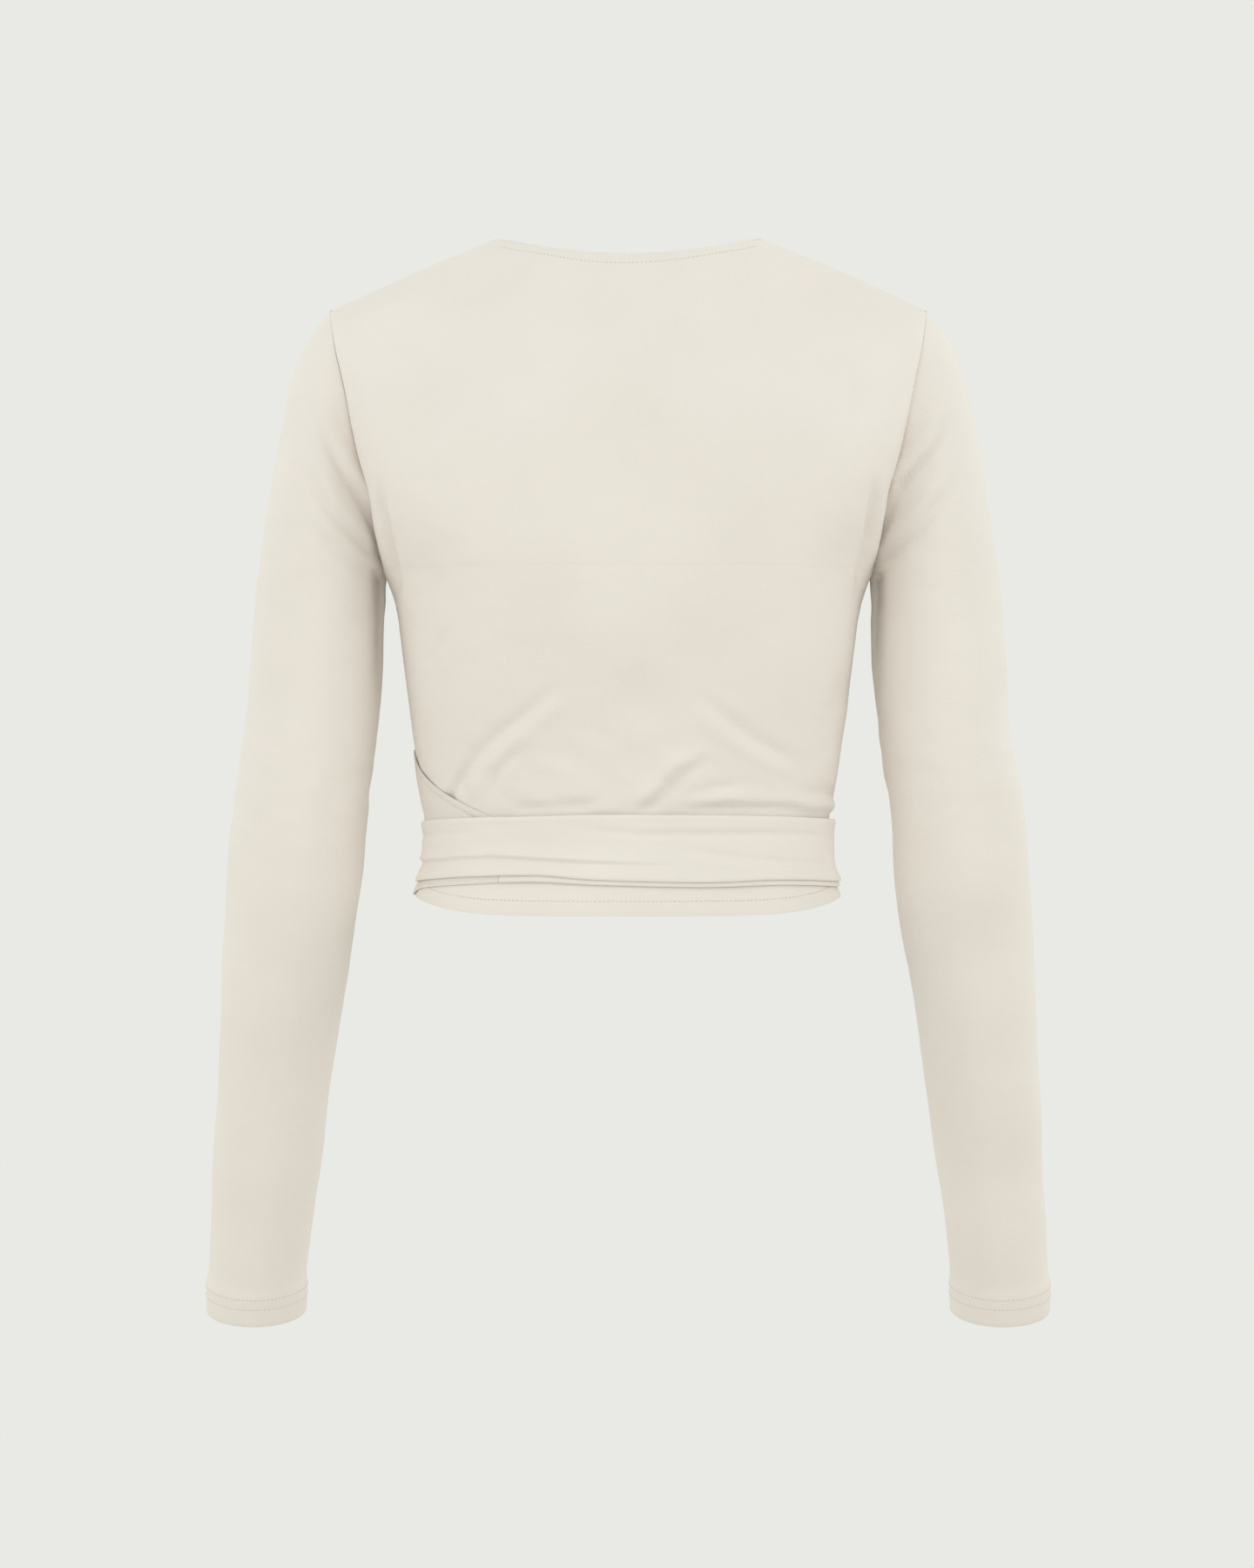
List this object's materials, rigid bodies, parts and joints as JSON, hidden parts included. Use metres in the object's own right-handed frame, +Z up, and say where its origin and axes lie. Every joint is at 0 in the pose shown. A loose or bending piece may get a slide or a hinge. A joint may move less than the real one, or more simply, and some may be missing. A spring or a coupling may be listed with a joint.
{
  "type": "wrap top",
  "caption": "Cropped long-sleeved wrap top in cream jersey, worn and hollow, its tie wound twice round the waist and knotted at the front.",
  "frame": {"origin": "Midway between the two neck points of the shoulder seams, where the wearer's shoulders carry the top.", "axes": "+Z up, the front faces -Y, +X is the wearer's left."},
  "size_m": [0.5234, 0.2108, 0.6652],
  "materials": {
    "jersey": "matte knitted single jersey with a soft sheen"
  },
  "bodies": {
    "root": {"back": "jersey", "front_right": "jersey", "front_left": "jersey", "sleeve_left": "jersey", "sleeve_right": "jersey", "tie_under": "jersey", "tie_over": "jersey", "tie_end": "jersey", "tie_knot": "jersey"}
  },
  "joints": []
}
